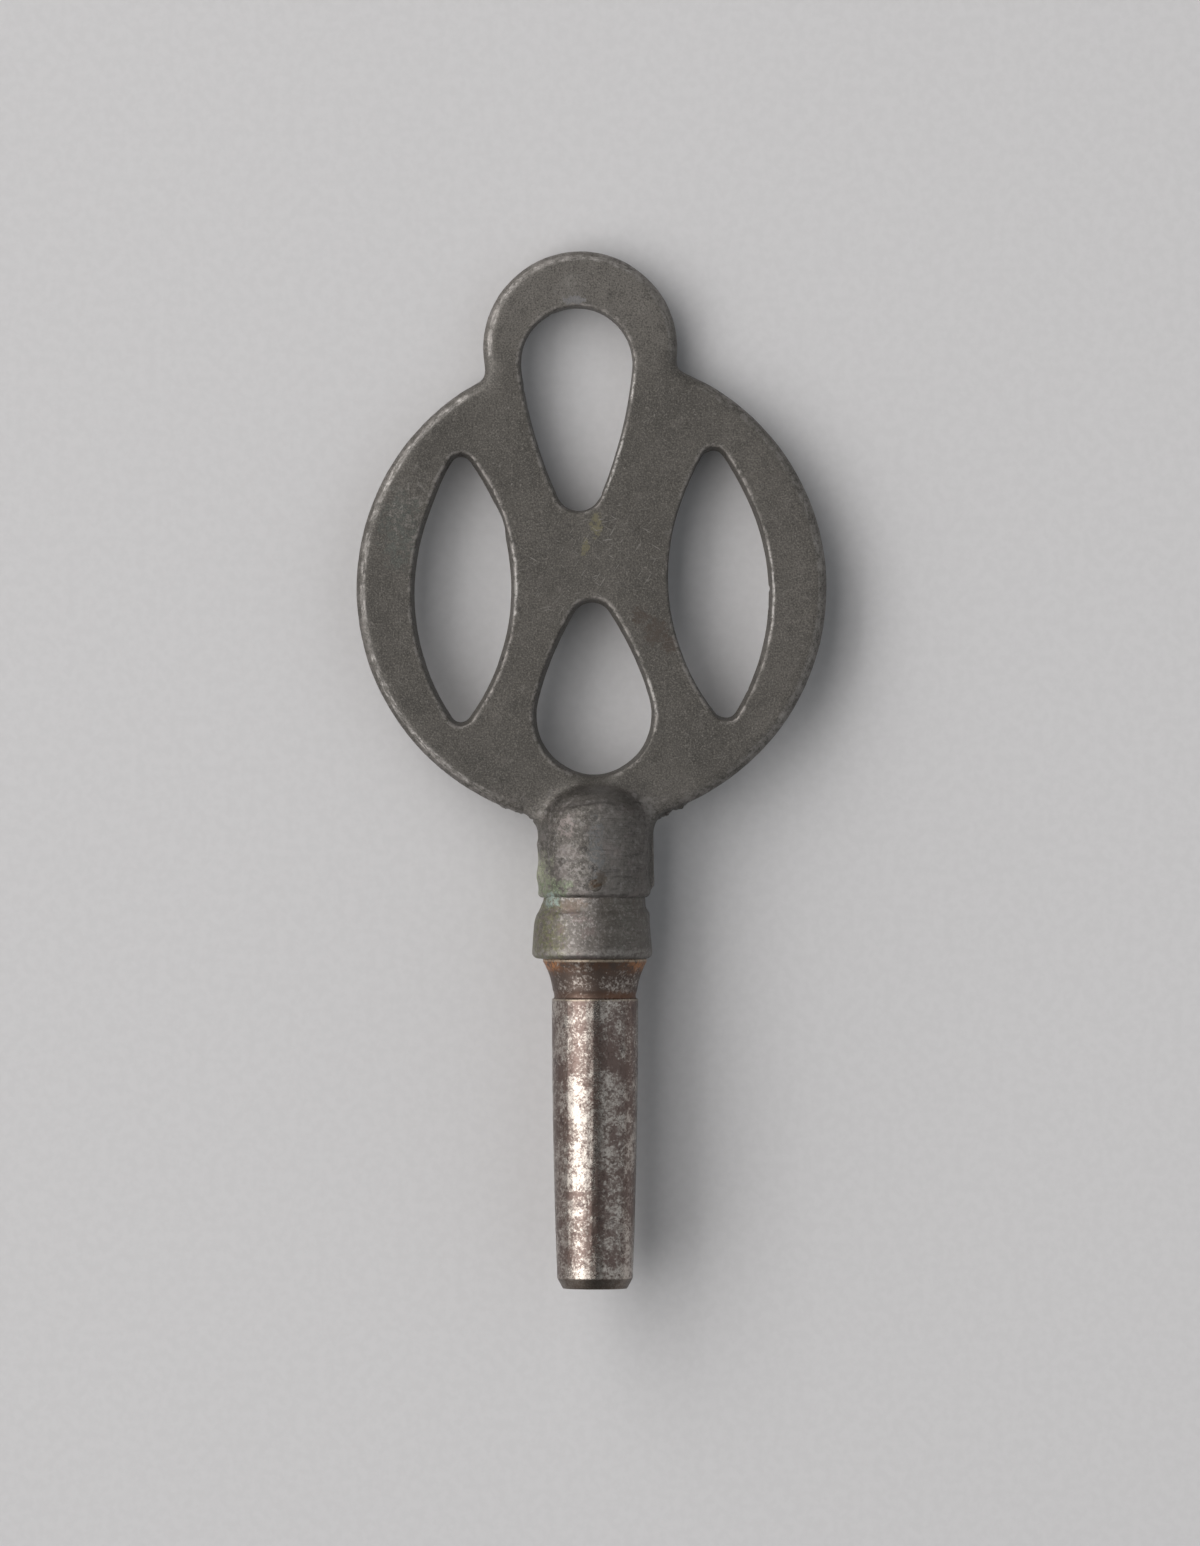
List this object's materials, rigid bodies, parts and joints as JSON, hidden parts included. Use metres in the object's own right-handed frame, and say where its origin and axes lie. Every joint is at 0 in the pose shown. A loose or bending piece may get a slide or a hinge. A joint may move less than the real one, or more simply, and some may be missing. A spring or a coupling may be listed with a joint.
{
  "type": "clock winding key",
  "caption": "Clock winding key with a pierced round bow and hanging loop, a round-ended boss, a flared ferrule and a tapered pipe with a square socket.",
  "frame": {"origin": "centre of the pipe's flat end face, at the mouth of the square socket", "axes": "+Y up the key's axis from the pipe to the hanging loop, +Z out of the bow's front face, +X to the right when the bow's front is seen with the loop up"},
  "size_m": [0.0329, 0.0726, 0.0084],
  "materials": {
    "bow_metal": "grey patinated cast copper alloy, fine granular skin, worn edges",
    "ferrule_metal": "grey-brown patina with some green",
    "pipe_steel": "worn bright steel with brown spotting and rust on the neck",
    "pin_steel": "rusted steel, dressed flush"
  },
  "bodies": {
    "root": {"bow": "bow_metal", "ferrule": "ferrule_metal", "pipe": "pipe_steel", "cross_pin": "pin_steel"}
  },
  "joints": []
}
